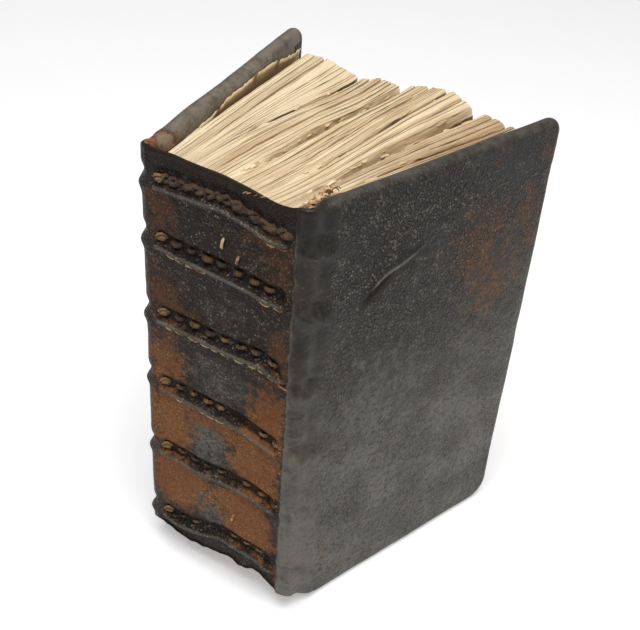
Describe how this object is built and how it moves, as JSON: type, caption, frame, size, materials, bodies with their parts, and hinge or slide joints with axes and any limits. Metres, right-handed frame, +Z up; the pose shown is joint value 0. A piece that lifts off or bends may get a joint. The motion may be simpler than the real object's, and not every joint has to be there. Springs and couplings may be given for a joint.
{
  "type": "leather-bound hymnal",
  "caption": "Thick old leather-bound hymnal standing on its tail, with sewn raised bands on the spine, fanned leaves and covers that swing on their joints.",
  "frame": {"origin": "middle of the bounding box in X and Y, on the plane that the tails of the covers stand on", "axes": "+Z up from tail to head, -Y the way the spine faces, +X the side of the front cover"},
  "size_m": [0.0948, 0.0916, 0.15],
  "materials": {
    "cover_leather": "worn satin",
    "spine_leather": "worn matte",
    "leaves": "rough uncoated",
    "pastedown": "stained uncoated",
    "board": "raw",
    "cord": "twisted hemp",
    "thread": "waxed linen"
  },
  "bodies": {
    "book_block": {"text_block": "leaves", "spine_leather": "spine_leather", "band_cord_1": "cord", "band_cord_2": "cord", "band_cord_3": "cord", "band_cord_4": "cord", "band_cord_5": "cord", "band_cord_6": "cord", "stitches_1": "thread", "stitches_2": "thread", "stitches_3": "thread", "stitches_4": "thread", "stitches_5": "thread", "stitches_6": "thread"},
    "front_cover": {"front_board": "board", "front_slips": "cord", "front_leather": "cover_leather", "front_pastedown": "pastedown"},
    "back_cover": {"back_board": "board", "back_slips": "cord", "back_leather": "cover_leather", "back_pastedown": "pastedown"}
  },
  "joints": [
    {"name": "front_joint", "type": "hinge", "parent": "book_block", "child": "front_cover", "pos_m": [0.02222, -0.03926, 0], "axis": [0, 0, -1], "range_deg": [0, 120]},
    {"name": "back_joint", "type": "hinge", "parent": "book_block", "child": "back_cover", "pos_m": [-0.03434, -0.03907, 0], "axis": [0, 0, 1], "range_deg": [-1.5, 120]}
  ]
}
